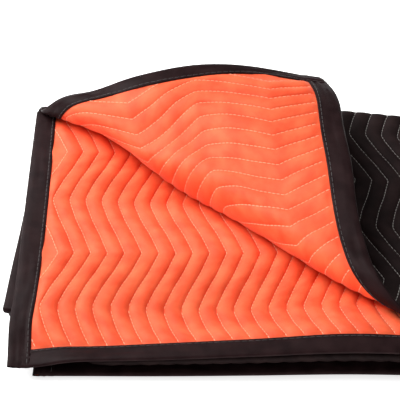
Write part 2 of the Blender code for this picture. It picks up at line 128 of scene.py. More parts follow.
def run_table():
    """The runs and turns of the pad along v: (name, first v, last v)."""
    half_turn = math.pi * LAYER_PITCH / 2
    lengths = (
        ("second", REAR),
        ("rear_inner", half_turn),
        ("third", REAR - FRONT_TURN),
        ("front", half_turn),
        ("fourth", REAR + REAR_SLACK - FRONT_TURN),
        ("rear_outer", 3 * half_turn),
    )
    table = []
    start = 0.0
    for name, length in lengths:
        table.append((name, start, start + length))
        start += length
    table.append(("top", start, PAD_LENGTH))
    return table


RUNS = run_table()
RUN_ENDS = np.array([last for _, _, last in RUNS[:-1]])
TURNS = [(first, last) for name, first, last in RUNS if name not in LEVELS]
FRONT_FOLD = TURNS[1]
REAR_FOLD, TOP_START = TURNS[2]


def smooth(value):
    value = np.clip(value, 0.0, 1.0)
    return value * value * (3 - 2 * value)


def inset(u):
    """Distance from the nearer long edge."""
    return np.minimum(u, PAD_WIDTH - u)


def front_turn_at(u):
    return FRONT_TURN - FRONT_LEAD + FRONT_SETBACK * (1 - smooth(inset(u) / SETBACK_REACH))


def run_place(name, u, along):
    """Along one run or turn: y, and height above the middle of the fold in width."""
    front = front_turn_at(u)
    rear = REAR + REAR_SLACK
    level = np.full_like(u, LEVELS.get(name, 0) * LAYER_PITCH)
    lower = smooth((u - HALF_WIDTH) / HALF_CHANGE + 0.5)
    if name == "second":
        return -LOWER_LEAD * lower * (1 - along) + REAR * along, level
    if name == "third":
        return REAR * (1 - along) + front * along, level
    if name == "fourth":
        return front * (1 - along) + rear * along, level
    if name == "top":
        edge = TOP_SETBACK * (1 - lower) + LOWEST_SETBACK * lower
        return rear * (1 - along) + edge * along, level
    radius = LAYER_PITCH / 2 * (3 if name == "rear_outer" else 1)
    out, up = radius * np.sin(math.pi * along), radius * np.cos(math.pi * along)
    if name == "front":
        return front - out, LAYER_PITCH + up
    if name == "rear_inner":
        return REAR + out, 2 * LAYER_PITCH + up
    return rear + out, 2 * LAYER_PITCH - up


def slip(name, u, y, along):
    """Sideways push of a layer near the left edge, to the right."""
    if name == "rear_inner":
        return np.zeros_like(u)
    pinch = PINCH_SHIFT * (1 - smooth(u / PINCH_REACH))
    if name == "rear_outer":
        return pinch * smooth((along - PINCH_TURN) / (1 - PINCH_TURN))
    inner = name in INNER_RUNS
    pushes, start = (INNER_SLIP, INNER_SLIP_START) if inner else (OUTER_SLIP, 0.0)
    push = np.where(u > HALF_WIDTH, pushes[1], pushes[0])
    pushed = push * (1 - smooth(inset(u) / SLIP_WIDTH)) * (1 - smooth((y - start) / SLIP_DEPTH))
    if name == "top":
        skewed = TOP_SKEW * np.clip(1 - y / REAR, 0.0, 1.0)
        skewed = skewed * (1 - smooth((u - SKEW_START) / SKEW_REACH))
        pinched = pinch * smooth((y - PINCH_REAR[0]) / PINCH_REAR[1])
        pushed += np.where(u > HALF_WIDTH, 0.0, skewed + pinched)
    return pushed


def droop(name, u, y):
    """Sinking of the second run's corner in front of the turn beneath it."""
    if name != "second":
        return np.zeros_like(u)
    across, back = DROOP_REACH
    ahead = smooth((front_turn_at(u) - DROOP_CLEAR - y) / back)
    return np.where(u > HALF_WIDTH, 0.0, CORNER_DROOP * (1 - smooth(u / across)) * ahead)


def smooth_weights(knots, at):
    """How much the value at each knot counts at each place, for a smooth curve through them."""
    knots = np.array(knots)
    last = len(knots) - 1
    at = np.clip(at, knots[0], knots[-1])
    index = np.clip(np.searchsorted(knots, at, side="right") - 1, 0, last - 1)
    span = (knots[index + 1] - knots[index])[:, None]
    t = (at - knots[index])[:, None] / span
    values = np.eye(last + 1)
    slopes = np.zeros_like(values)
    for knot in range(last + 1):
        before, after = max(0, knot - 1), min(last, knot + 1)
        slopes[knot] = (values[after] - values[before]) / (knots[after] - knots[before])
    return (values[index] * (1 + 2 * t) * (1 - t) ** 2 + slopes[index] * span * t * (1 - t) ** 2
            + values[index + 1] * t * t * (3 - 2 * t) + slopes[index + 1] * span * t * t * (t - 1))


def net_move(first, second, moves, across, along):
    """Move at each place: moves has a row for each of the first knots, in millimetres."""
    taken = smooth_weights(first, across) @ (np.array(moves) / 1000).reshape(len(first), -1)
    taken = taken.reshape(len(across), len(second), -1)
    return np.einsum("nk,nkc->nc", smooth_weights(second, along), taken)


def past_contact(x, y):
    """Distance along the contact line, roll radius, line shift and cloth past the line."""
    across, back = x - CONTACT_REAR[0], y - CONTACT_REAR[1]
    along = across * LINE_WAY[0] + back * LINE_WAY[1]
    places, radii, shifts = map(np.array, zip(*ROLL_TABLE))
    weights = smooth_weights(places, along / LINE_LENGTH)
    shift = weights @ shifts
    return along, weights @ radii, shift, shift - across * LINE_BACK[0] - back * LINE_BACK[1]


def top_place(x, y):
    """The top layer: flat behind the contact line, rolled and laid back before it."""
    along, radius, shift, cloth = past_contact(x, y)
    turn = np.clip(cloth / radius, 0.0, math.pi)
    spare = np.maximum(0.0, cloth - math.pi * radius)
    forward = radius * np.sin(turn) - shift - spare
    high = np.exp(-(spare / SINK_LENGTH) ** 2)
    laid = LAYER_PITCH + (2 * radius - LAYER_PITCH) * high + CORNER_RISE * spare
    rise = np.where(spare > 0, laid, radius * (1 - np.cos(turn)))
    flat = cloth <= 0
    place = np.stack((
        np.where(flat, x, CONTACT_REAR[0] + LINE_WAY[0] * along - LINE_BACK[0] * forward),
        np.where(flat, y, CONTACT_REAR[1] + LINE_WAY[1] * along - LINE_BACK[1] * forward),
        STACK_MIDDLE + LEVELS["top"] * LAYER_PITCH + np.where(flat, 0.0, rise),
    ), axis=1)
    return place + net_move(FLAP_ALONG, FLAP_CLOTH, FLAP_MOVES, along / LINE_LENGTH, cloth)


def run_middle(name, u, along):
    """Place of the pad's middle along one run or turn, after the fold in width."""
    y, height = run_place(name, u, along)
    spread = smooth((inset(u) - EVEN_EDGE[0]) / EVEN_EDGE[1])
    second = LEVELS["second"] * LAYER_PITCH
    quarter = math.pi / 2 * height
    shift = math.pi / 2 * (height - second) * (spread - 1)
    centre = HALF_WIDTH - math.pi / 2 * second
    turn = np.clip((u - HALF_WIDTH + quarter) / height, 0.0, math.pi)
    bend = centre + shift + (height * FOLD_STRETCH + FOLD_BULGE) * np.sin(turn)
    flat = centre + quarter - np.abs(HALF_WIDTH - u) + shift + slip(name, u, y, along)
    x = np.where((turn > 0) & (turn < math.pi), bend, flat)
    z = STACK_MIDDLE + height * np.cos(turn) - droop(name, u, y)
    place = np.stack((x, y, z), axis=1)
    if name == "top":
        place = np.where((turn <= 0)[:, None], top_place(x, y), place)
    return place


def settled(place):
    """The folded pad settled into the uneven form that soft layers take."""
    x, y, z = place.T
    across, back, lift = net_move(SETTLE_X, SETTLE_Y, SETTLE_MOVES, x, y).T
    low = np.clip(z, 0.0, SETTLE_CAP)
    x, z = x + across * low / SETTLE_FULL, z + lift * low / SETTLE_FULL
    return np.stack((x, y + back, z), axis=1)


def middle(u, v):
    """Place of the pad's middle in the folded pad."""
    index = np.searchsorted(RUN_ENDS, v, side="left")
    place = np.zeros((len(u), 3))
    for number, (name, first, last) in enumerate(RUNS):
        here = index == number
        if here.any():
            place[here] = run_middle(name, u[here], (v[here] - first) / (last - first))
    return settled(place)


def folded(u, v, w):
    """Places in the folded pad of points of the flat one, set off square to its middle by w."""
    across = middle(u + SLOPE_STEP, v) - middle(u - SLOPE_STEP, v)
    along = middle(u, v + SLOPE_STEP) - middle(u, v - SLOPE_STEP)
    out = np.cross(across, along)
    out /= np.linalg.norm(out, axis=1)[:, None]
    place = middle(u, v) + out * w[:, None] - np.array(PAD_MIDDLE)
    pressed = FLAT_BELOW * np.exp(np.minimum(place[:, 2] / FLAT_BELOW - 1, 0))
    place[:, 2] = np.where(place[:, 2] < FLAT_BELOW, pressed, place[:, 2])
    return place


# ---------------------------------------------------------------- quilting
QUILT_PITCH = 0.0234                # from one line of quilting to the next, across the pad
QUILT_SWING = 0.0370                # of the zigzag from side to side
QUILT_ROW = 0.1055                  # from one of its points to the next, along the pad
FIRST_ROW = 0.0956
FIRST_LINE = 0.0534                 # place of line number 0
EDGE_LINE = -1                      # the straight line beside the first binding
LAST_LINE = 73
ODD_ROUND = 0.006                   # rounding of the zigzag's points, as a share of two rows
EVEN_ROUND = 0.030
POINT_CHANGE = (0.15, 0.2)          # where one rounding starts to give way to the other
SEAM_HEIGHT = 0.0010                # of the cloth above the pad's middle, at a line of quilting
HIDDEN_CREST = 0.0024               # of a channel between two layers
FREE_CREST = 0.0058                 # of a channel with nothing on it
ROLLED_CREST = 0.0030               # of a channel drawn tight round the roll
CREST_ROUND = 0.62                  # lower is flatter across the channel, with steeper sides
PRESSED = 0.0009                    # of the cloth under a binding
LUMP_SHARE = 0.10                   # of a free channel's height
LUMP_SIZE = 0.030
BORDER_RISE = (0.002, 0.012)        # start under the binding, and length, of a channel's rise
PUCKER_HEIGHT = 0.00016
PUCKER_LENGTH = 0.0017
UNDER_FREE = (0.002, 0.03)          # past the contact line: start and growth of bare second run
TOP_FREE = 0.02                     # over which the top run's faces are bared from that line
TIGHT_START = (0.01, 0.03)          # before that line, and over how much, the cloth draws tight
TIGHT_END = (0.085, 0.30)           # past that line, and over how much, it loosens
BINDING_WIDTH = 0.028


def swing(line, v):
    """Sideways swing at v of the quilting that starts at line; at the edges it is straight."""
    row = (v - FIRST_ROW) / QUILT_ROW
    off_odd = (row / 2) % 1.0 - 0.5
    off_even = 0.5 - np.abs(off_odd)
    odd = np.sqrt(off_odd ** 2 + ODD_ROUND ** 2) - ODD_ROUND
    even = np.sqrt(off_even ** 2 + EVEN_ROUND ** 2) - EVEN_ROUND
    share = smooth((np.abs(off_odd) - POINT_CHANGE[0]) / POINT_CHANGE[1])
    wave = 2 * (odd * (1 - share) + (0.5 - even) * share)
    return QUILT_SWING * (0.5 - wave) * np.clip(inset(line) / (FIRST_LINE - QUILT_PITCH), 0.0, 1.0)


def unevenness(a, b, size):
    """Soft lumps of about that size, between -1 and 1, from waves that don't keep step."""
    a, b = a / size, b / size
    lumps = np.sin(a * 2.1 + 1.3 * np.sin(b * 1.7 + 0.4))
    lumps = lumps + np.sin(b * 2.6 + 1.1 * np.sin(a * 1.3 + 2.0))
    lumps += 0.6 * np.sin((a + b) * 3.7 + np.sin(a * 2.9 - b))
    return lumps / 2.6


def top_cloth(u, v):
    """Cloth of the top run past the contact line."""
    return past_contact(u, (REAR + REAR_SLACK) - (v - TOP_START))[3]


def free_share(u, v, side):
    """1 where nothing lies on that side of the cloth, so that it can puff up, and 0 elsewhere."""
    top = v > TOP_START
    cloth = top_cloth(u, v)
    if side > 0:
        under = smooth((past_contact(u, v)[3] - UNDER_FREE[0]) / UNDER_FREE[1])
        second = np.where(v < RUN_ENDS[0], under, 0.0)
        return np.where(top, smooth(cloth / TOP_FREE), second) * (u < HALF_WIDTH)
    return np.where(top, smooth(-cloth / TOP_FREE) * (u < HALF_WIDTH), 0.0)


def rolled_share(u, v):
    """1 where the cloth is drawn tight round the roll, fading out over the turned corner."""
    cloth = top_cloth(u, v)
    tight = smooth((cloth + TIGHT_START[0]) / TIGHT_START[1])
    tight = tight * (1 - smooth((cloth - TIGHT_END[0]) / TIGHT_END[1]))
    return np.where((v > TOP_START) & (u < HALF_WIDTH), tight, 0.0)


def cloth_height(line, v, side):
    """Height of a quilted face above the pad's middle."""
    u = line + swing(line, v)
    puff = np.abs(np.sin(math.pi * (line - FIRST_LINE) / QUILT_PITCH)) ** CREST_ROUND
    border = np.minimum(inset(u), np.minimum(v, PAD_LENGTH - v)) - BINDING_WIDTH
    free = free_share(u, v, side)
    crest = HIDDEN_CREST + (FREE_CREST - HIDDEN_CREST) * free
    crest = crest * (1 + LUMP_SHARE * free * unevenness(line, v, LUMP_SIZE))
    crest = crest - (crest - ROLLED_CREST) * rolled_share(u, v)
    raised = smooth((border + BORDER_RISE[0]) / BORDER_RISE[1])
    out_of_step = 9 * np.floor(line / QUILT_PITCH)
    pucker = PUCKER_HEIGHT * free * (1 - puff) * np.sin(v / PUCKER_LENGTH + out_of_step)
    height = SEAM_HEIGHT + (crest - SEAM_HEIGHT) * puff * raised + pucker
    return np.where(border < 0, PRESSED, height)


# ---------------------------------------------------------------- cutting and sewing the pieces
FINE = (0.0, 0.0009, 0.0026, 0.0052, 0.0083, 0.0117, 0.0151, 0.0182, 0.0208, 0.0225)
MEDIUM = (0.0, 0.0020, 0.0117, 0.0214)
COARSE = (0.0, 0.0117)
COVER_EDGE = 0.0014                 # of the cloth, inside the pad's edge
COVER_END = PAD_LENGTH - COVER_EDGE
EDGE_COLUMNS = (COVER_EDGE, 0.010, 0.020)
TURN_STEP = 0.0011                  # from row to row in a turn
LEAST_STEP = 0.0006
FOLD_START, FOLD_END = FRONT_FOLD[0] - 0.02, FRONT_FOLD[1] + 0.02     # of the finer rows there
UNDER_FLAP = 24                     # the line that ends the cloth shown beside the turned corner
PAST_FOLD = 38                      # the line just past the fold in width
ORANGE_PATCHES = (                  # (first line, last line, columns, first v, last v, rows)
    (EDGE_LINE, PAST_FOLD, FINE, COVER_EDGE, FIRST_ROW, 26),
    (PAST_FOLD, LAST_LINE, MEDIUM, COVER_EDGE, FIRST_ROW, 8),
    (EDGE_LINE, UNDER_FLAP, FINE, FIRST_ROW, REAR, 26),
    (UNDER_FLAP, LAST_LINE, COARSE, FIRST_ROW, REAR, 4),
    (EDGE_LINE, LAST_LINE, COARSE, REAR, TOP_START, 4),
    (EDGE_LINE, UNDER_FLAP, FINE, TOP_START, COVER_END, 26),
    (UNDER_FLAP, LAST_LINE, COARSE, TOP_START, COVER_END, 4),
)
BLACK_PATCHES = (
    (EDGE_LINE, PAST_FOLD, MEDIUM, COVER_EDGE, FIRST_ROW + QUILT_ROW, 16),
    (PAST_FOLD, LAST_LINE, COARSE, COVER_EDGE, FIRST_ROW + QUILT_ROW, 8),
    (EDGE_LINE, LAST_LINE, COARSE, FIRST_ROW + QUILT_ROW, FOLD_START, 4),
    (EDGE_LINE, PAST_FOLD, MEDIUM, FOLD_START, FOLD_END, 16),
    (PAST_FOLD, LAST_LINE, MEDIUM, FOLD_START, FOLD_END, 16),
    (EDGE_LINE, LAST_LINE, COARSE, FOLD_END, REAR_FOLD, 4),
    (EDGE_LINE, PAST_FOLD, FINE, REAR_FOLD, COVER_END, 22),
    (PAST_FOLD, LAST_LINE, MEDIUM, REAR_FOLD, COVER_END, 8),
)


def columns(first, last, offsets):
    """Columns of a patch, in step with the quilting lines from number first to number last."""
    made = [FIRST_LINE + QUILT_PITCH * line + off for line in range(first, last) for off in offsets]
    made.append(FIRST_LINE + QUILT_PITCH * last)
    if first == EDGE_LINE:
        made = list(EDGE_COLUMNS) + made
    if last == LAST_LINE:
        made += [PAD_WIDTH - offset for offset in reversed(EDGE_COLUMNS)]
    return made


def rows(start, end, parts):
    """Rows of a patch, in step with the zigzag's points and close together in the turns."""
    count = math.ceil((end - FIRST_ROW) / QUILT_ROW) * parts
    made = [FIRST_ROW + QUILT_ROW * step / parts for step in range(-parts, count + 1)]
    for first, last in TURNS:
        turned = round((last - first) / TURN_STEP)
        made = [v for v in made if not first - LEAST_STEP < v < last + LEAST_STEP]
        made += [first + (last - first) * step / turned for step in range(turned + 1)]
    made = [v for v in made if start + LEAST_STEP < v < end - LEAST_STEP]
    return [start] + sorted(made) + [end]


def lay_patch(bm, across, along):
    """A flat patch of cloth with its points on those columns and rows."""
    made = bmesh.ops.create_grid(bm, x_segments=len(across) - 1, y_segments=len(along) - 1, size=1)
    for vert in made["verts"]:
        column = round((vert.co.x + 1) / 2 * (len(across) - 1))
        row = round((vert.co.y + 1) / 2 * (len(along) - 1))
        vert.co = (across[column], along[row], 0)


def mesh_from(bm, name):
    mesh = bpy.data.meshes.new(name)
    bm.to_mesh(mesh)
    bm.free()
    return mesh


def put_in_scene(name, data):
    item = bpy.data.objects.new(name, data)
    bpy.context.scene.collection.objects.link(item)
    return item


def flat_points(mesh):
    points = np.empty(len(mesh.vertices) * 3)
    mesh.vertices.foreach_get("co", points)
    return points.reshape(-1, 3)


def lay_out_map(mesh, points):
    """A map over the piece, in metres of flat cloth."""
    corners = np.empty(len(mesh.loops), dtype=np.int32)
    mesh.loops.foreach_get("vertex_index", corners)
    mesh.uv_layers.new(name="cloth")
    mesh.uv_layers["cloth"].data.foreach_set("uv", points[corners, :2].ravel())


def close_tubes(mesh):
    """Join each tube along its length and close its ends."""
    bm = bmesh.new()
    bm.from_mesh(mesh)
    bmesh.ops.remove_doubles(bm, verts=bm.verts[:], dist=0.000004)
    bmesh.ops.holes_fill(bm, edges=bm.edges[:], sides=THREAD_SIDES)
    bmesh.ops.recalc_face_normals(bm, faces=bm.faces[:])
    bm.to_mesh(mesh)
    bm.free()


def sew_piece(bm, name, material, form, outwards=True, closed=False):
    """Fold a flat piece: form gives u, v and w for its flat points."""
    mesh = mesh_from(bm, name)
    points = flat_points(mesh)
    lay_out_map(mesh, points)
    u, v, w = form(points)
    mesh.vertices.foreach_set("co", folded(u, v, w).ravel())
    if not outwards:
        mesh.flip_normals()
    if closed:
        close_tubes(mesh)
    mesh.shade_smooth()
    mesh.materials.append(material)
    piece = put_in_scene(name, mesh)
    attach(piece, "root")
    return piece


def make_cover(name, side, patches, material):
    """One quilted face of the pad."""
    bm = bmesh.new()
    for first, last, offsets, start, end, parts in patches:
        lay_patch(bm, columns(first, last, offsets), rows(start, end, parts))
    bmesh.ops.remove_doubles(bm, verts=bm.verts[:], dist=0.00001)

    def form(points):
        line, v = points[:, 0], points[:, 1]
        return line + swing(line, v), v, side * cloth_height(line, v, side)

    return sew_piece(bm, name, material, form, outwards=side > 0)


# ---------------------------------------------------------------- stitches
THREAD_SIDES = 5
THREAD_TAPER = np.array([0.45, 0.95, 1.0, 0.95, 0.45])           # of each ring of a stitch
THREAD_RINGS = len(THREAD_TAPER)
STITCH_PLACES = np.array([-0.43, -0.30, 0.0, 0.30, 0.43])        # of its rings, in stitches
STITCH_HEIGHTS = np.array([-0.40, 0.35, 0.60, 0.35, -0.40])      # over the seam, in rises
QUILT_STITCH = 0.0064               # from one quilting stitch to the next
TAPE_STITCH = 0.0088                # from one binding stitch to the next
STITCH_STAGGER = 0.0021             # of one quilting line's stitches past its neighbour's
UNDER_TAPE = 0.001                  # how far a quilting stitch may reach under a binding
FOLD_SHOWN = 0.012                  # cloth on either side of the front turn that shows
BLACK_SHOWN = 8                     # the first line of the top run's black face that shows
ORANGE_SPANS = (                    # of stitches: (first line, last line, first v, last v)
    (EDGE_LINE, PAST_FOLD, BINDING_WIDTH, FIRST_ROW),
    (EDGE_LINE, UNDER_FLAP, FIRST_ROW, REAR),
    (EDGE_LINE, UNDER_FLAP, TOP_START, PAD_LENGTH - BINDING_WIDTH),
)
BLACK_SPANS = (
    (0, PAST_FOLD, FRONT_FOLD[0] - FOLD_SHOWN, FRONT_FOLD[1] + FOLD_SHOWN),
    (BLACK_SHOWN, PAST_FOLD, REAR_FOLD, PAD_LENGTH - BINDING_WIDTH),
)
BENEATH_SPANS = ((PAST_FOLD, LAST_LINE, REAR_FOLD, PAD_LENGTH - BINDING_WIDTH),)


def make_thread(name, centres, material, radius):
    """Stitches of thread: centres gives u, v and w of the rings of one stitch after another."""
    rings = len(centres)
    bm = bmesh.new()
    bmesh.ops.create_grid(bm, x_segments=THREAD_SIDES, y_segments=rings - 1, size=1)
    gaps = []
    for face in bm.faces:
        row = math.floor((face.calc_center_median().y + 1) / 2 * (rings - 1))
        if row % THREAD_RINGS == THREAD_RINGS - 1:
            gaps.append(face)
    bmesh.ops.delete(bm, geom=gaps, context="FACES")

    def form(points):
        angle = (points[:, 0] + 1) * math.pi + math.pi / 2
        ring = np.round((points[:, 1] + 1) / 2 * (rings - 1)).astype(int)
        number = ring % THREAD_RINGS
        before = centres[np.where(number == 0, ring, ring - 1)]
        after = centres[np.where(number == THREAD_RINGS - 1, ring, ring + 1)]
        way = (after - before)[:, :2]
        way = way / np.linalg.norm(way, axis=1)[:, None]
        thick = radius * THREAD_TAPER[number]
        u, v, w = centres[ring].T
        return (u + thick * np.cos(angle) * way[:, 1], v - thick * np.cos(angle) * way[:, 0],
                w - np.sign(w) * thick * np.sin(angle))

    return sew_piece(bm, name, material, form, closed=True)


def stitch_rings(start, end, pitch):
    """Places along a seam of the rings of its stitches, and how high each ring lies."""
    count = int((end - start) / pitch)
    at = (start + pitch * (np.arange(count) + 0.5))[:, None] + (STITCH_PLACES * pitch)[None, :]
    return at.ravel(), np.tile(STITCH_HEIGHTS, count)


def quilting_stitches(side, spans, radius):
    """Ring centres of the stitches on one face."""
    pitch = QUILT_STITCH / math.hypot(1.0, QUILT_SWING / QUILT_ROW)
    made = []
    for first, last, start, end in spans:
        for line in range(first, last):
            at, high = stitch_rings(start + STITCH_STAGGER * (line % 3), end, pitch)
            place = np.full_like(at, FIRST_LINE + QUILT_PITCH * line)
            u = place + swing(place, at)
            height = cloth_height(place, at, side) + high * radius
            rings = np.stack((u, at, side * height), axis=1).reshape(-1, THREAD_RINGS, 3)
            clear = np.minimum(rings[:, :, 1].min(axis=1), PAD_LENGTH - rings[:, :, 1].max(axis=1))
            clear = np.minimum(clear, inset(rings[:, :, 0]).min(axis=1))
            made.append(rings[clear > BINDING_WIDTH - UNDER_TAPE].reshape(-1, 3))
    return np.concatenate(made)


# ---------------------------------------------------------------- bindings
TAPE_SEAM = (0.0244, 0.0025)        # place of its seam: in from the pad's edge, and height
SEAM_RISE = 0.00045                 # of that seam's stitches
TAPE_STEP = 0.006                   # from station to station along a tape
LEAST_END = 0.0008                  # from a tape's end to the next station
ROLL_STATIONS = (TOP_START + 0.002, TOP_START + 0.10, 0.0025)    # closer: (first, last, step)
FOLD_STATIONS = (HALF_WIDTH - 0.032, HALF_WIDTH + 0.032, 0.0014)
END_OVERLAP = 0.020                 # of the end bindings under the side bindings
OVERLAP_RISE = 0.0009
OVERLAP_EDGE = (0.001, 0.003)
SIDE_SEAM = (0.004, PAD_LENGTH - 0.004)
END_SEAM = (BINDING_WIDTH + 0.002, PAD_WIDTH - BINDING_WIDTH - 0.002)
CUT_END = (0.35, 0.0015)            # of a tape: share of its thickness left, and length
PLAIN_FOLD = (0.003, 0.004)         # no creases at the tape's fold, and their growth after it
PLAIN_HEM = (0.001, 0.003)
DRAWN = (0.55, 0.45, 0.16)          # share of the creases, its change along the tape, and size
CREASES = (                         # (depth, width, winding, shift along, stretch, size)
    (0.00085, 0.00125, 2.6, 0.0, 2.0, 0.10),
    (0.00062, 0.0021, 3.4, 0.3, 1.0, 0.06),
)
TAPE_PUCKERS = ((0.00035, 1.5, 0.018), (0.00022, 0.5, 0.006))    # (depth, stretch, size)
SECTION_LEG = (                     # of a tape's cut: (in from the pad's edge, height)
    (BINDING_WIDTH, 0.0007),
    (BINDING_WIDTH + 0.0002, 0.0020),
    (BINDING_WIDTH - 0.0006, 0.0026),
    (0.0262, 0.0029),
    TAPE_SEAM,
    (0.0226, 0.0028),
    (0.0190, 0.0031),
    (0.0150, 0.0029),
    (0.0115, 0.0030),
    (0.0080, 0.0031),
    (0.0050, 0.0030),
    (0.0027, 0.0027),
    (0.0011, 0.0020),
    (0.0002, 0.0010),
)
SECTION_TURN = (-0.0002, 0.0)       # at the pad's edge
BLACK_LEG = tuple((inward, -height) for inward, height in reversed(SECTION_LEG))
SECTION = np.array(SECTION_LEG + (SECTION_TURN,) + BLACK_LEG)
AROUND = np.concatenate([[0], np.cumsum(np.linalg.norm(np.diff(SECTION, axis=0), axis=1))])


def tape_height(inward, height, along, over):
    """Height of the binding with its soft lengthwise creases and sideways puckers."""
    on_leg = smooth((inward - PLAIN_FOLD[0]) / PLAIN_FOLD[1])
    on_leg = on_leg * smooth((BINDING_WIDTH - PLAIN_HEM[0] - inward) / PLAIN_HEM[1])
    crease = np.zeros_like(inward)
    for depth, width, winding, shift, stretch, size in CREASES:
        wound = winding * unevenness(along + shift, inward * stretch, size)
        crease += depth * np.sin(inward / width + wound)
    crease *= DRAWN[0] + DRAWN[1] * unevenness(along, inward, DRAWN[2])
    for depth, stretch, size in TAPE_PUCKERS:
        crease += depth * unevenness(along, inward * stretch, size)
    face = np.sign(height)
    return height + face * on_leg * crease + face * over * OVERLAP_RISE


def make_binding(name, stations, place, over, material, flip):
    """A tape sewn over one edge of the pad; over says where it lies on another tape's end."""
    bm = bmesh.new()
    lay_patch(bm, AROUND, stations)

    def form(points):
        inward = np.interp(points[:, 0], AROUND, SECTION[:, 0])
        height = np.interp(points[:, 0], AROUND, SECTION[:, 1])
        along = points[:, 1]
        height = tape_height(inward, height, along, over(along))
        ends = np.minimum(along - stations[0], stations[-1] - along)
        height = height * (CUT_END[0] + (1 - CUT_END[0]) * smooth(ends / CUT_END[1]))
        u, v = place(along, inward)
        return u, v, height

    return sew_piece(bm, name, material, form, outwards=not flip)


def tape_stitches(place, over, start, end):
    """Ring centres of a binding's stitches, on both sides of the pad."""
    inward, flat = TAPE_SEAM
    made = []
    for face in (1, -1):
        at, high = stitch_rings(start, end, TAPE_STITCH)
        seam = np.full_like(at, inward)
        height = tape_height(seam, np.full_like(at, face * flat), at, over(at))
        u, v = place(at, seam)
        made.append(np.stack((u, v, height + face * high * SEAM_RISE), axis=1))
    return np.concatenate(made)


def stations_along(start, end, closer):
    """Places along a tape, closer together where it turns or rolls."""
    made = list(np.arange(start, end, TAPE_STEP))
    for first, last, step in closer:
        made = [at for at in made if not first - step / 2 < at < last + step / 2]
        made += list(np.arange(first, last + step / 4, step))
    return [start] + sorted(at for at in made if start + LEAST_END < at < end - LEAST_END) + [end]


def nothing_under(along):
    return np.zeros_like(along)


def ends_under(along):
    """1 where a side binding lies on the end of an end binding."""
    near = np.minimum(along, PAD_LENGTH - along)
    return 1 - smooth((near - BINDING_WIDTH + OVERLAP_EDGE[0]) / OVERLAP_EDGE[1])


# ---------------------------------------------------------------- materials
def weave_group():
    """A plain weave and soft mottling: outputs a bump height, a mottle value and a fuzz value."""
    group = bpy.data.node_groups.new("plain weave", "ShaderNodeTree")
    given_kinds = {"Cloth place": "NodeSocketVector", "Threads per metre": "NodeSocketFloat"}
    for name, kind in given_kinds.items():
        group.interface.new_socket(name=name, in_out="INPUT", socket_type=kind)
    for name in ("Weave height", "Mottle", "Fuzz"):
        group.interface.new_socket(name=name, in_out="OUTPUT", socket_type="NodeSocketFloat")
    nodes, links = group.nodes, group.links
    given = nodes.new("NodeGroupInput")
    out = nodes.new("NodeGroupOutput")
    scaled = nodes.new("ShaderNodeVectorMath")
    scaled.operation = "SCALE"
    links.new(given.outputs["Cloth place"], scaled.inputs[0])
    links.new(given.outputs["Threads per metre"], scaled.inputs["Scale"])
    both = nodes.new("ShaderNodeMath")
    both.operation = "MULTIPLY"
    for number, direction in enumerate(("X", "Y")):
        wave = nodes.new("ShaderNodeTexWave")
        wave.bands_direction = direction
        wave.inputs["Scale"].default_value = 0.5
        wave.inputs["Distortion"].default_value = 0.6
        wave.inputs["Detail"].default_value = 1.0
        links.new(scaled.outputs["Vector"], wave.inputs["Vector"])
        links.new(wave.outputs["Fac"], both.inputs[number])
    links.new(both.outputs["Value"], out.inputs["Weave height"])
    for name, scale, detail in (("Mottle", 34.0, 3.0), ("Fuzz", 900.0, 2.0)):
        noise = nodes.new("ShaderNodeTexNoise")
        noise.inputs["Scale"].default_value = scale
        noise.inputs["Detail"].default_value = detail
        links.new(given.outputs["Cloth place"], noise.inputs["Vector"])
        links.new(noise.outputs["Fac"], out.inputs[name])
    return group


def new_material(name, values):
    """A material whose shader has those values."""
    material = bpy.data.materials.new(name)
    material.use_nodes = True
    for key, value in values.items():
        material.node_tree.nodes["Principled BSDF"].inputs[key].default_value = value
    return material


def cloth_material(name, weave, dark, light, roughness, gloss, sheen, tint, threads, relief):
    """Woven cloth: two mottled colours, a weave in relief and a soft sheen."""
    material = new_material(name, {
        "Roughness": roughness,
        "Specular IOR Level": gloss,
        "Sheen Weight": sheen,
        "Sheen Roughness": 0.5,
        "Sheen Tint": (*tint, 1),
    })
    nodes, links = material.node_tree.nodes, material.node_tree.links
    shader = nodes["Principled BSDF"]
    place = nodes.new("ShaderNodeUVMap")
    place.uv_map = "cloth"
    pattern = nodes.new("ShaderNodeGroup")
    pattern.node_tree = weave
    pattern.inputs["Threads per metre"].default_value = threads
    links.new(place.outputs["UV"], pattern.inputs["Cloth place"])
    ramp = nodes.new("ShaderNodeValToRGB")
    for element, position, colour in zip(ramp.color_ramp.elements, (0.36, 0.66), (dark, light)):
        element.position = position
        element.color = (*colour, 1)
    links.new(pattern.outputs["Mottle"], ramp.inputs["Fac"])
    links.new(ramp.outputs["Color"], shader.inputs["Base Color"])
    height = nodes.new("ShaderNodeMath")
    height.operation = "ADD"
    links.new(pattern.outputs["Weave height"], height.inputs[0])
    links.new(pattern.outputs["Fuzz"], height.inputs[1])
    bump = nodes.new("ShaderNodeBump")
    bump.inputs["Strength"].default_value = 0.5
    bump.inputs["Distance"].default_value = relief
    links.new(height.outputs["Value"], bump.inputs["Height"])
    links.new(bump.outputs["Normal"], shader.inputs["Normal"])
    return material


def thread_material(name, colour):
    return new_material(name, {"Base Color": (*colour, 1), "Roughness": 0.6, "Sheen Weight": 0.2})


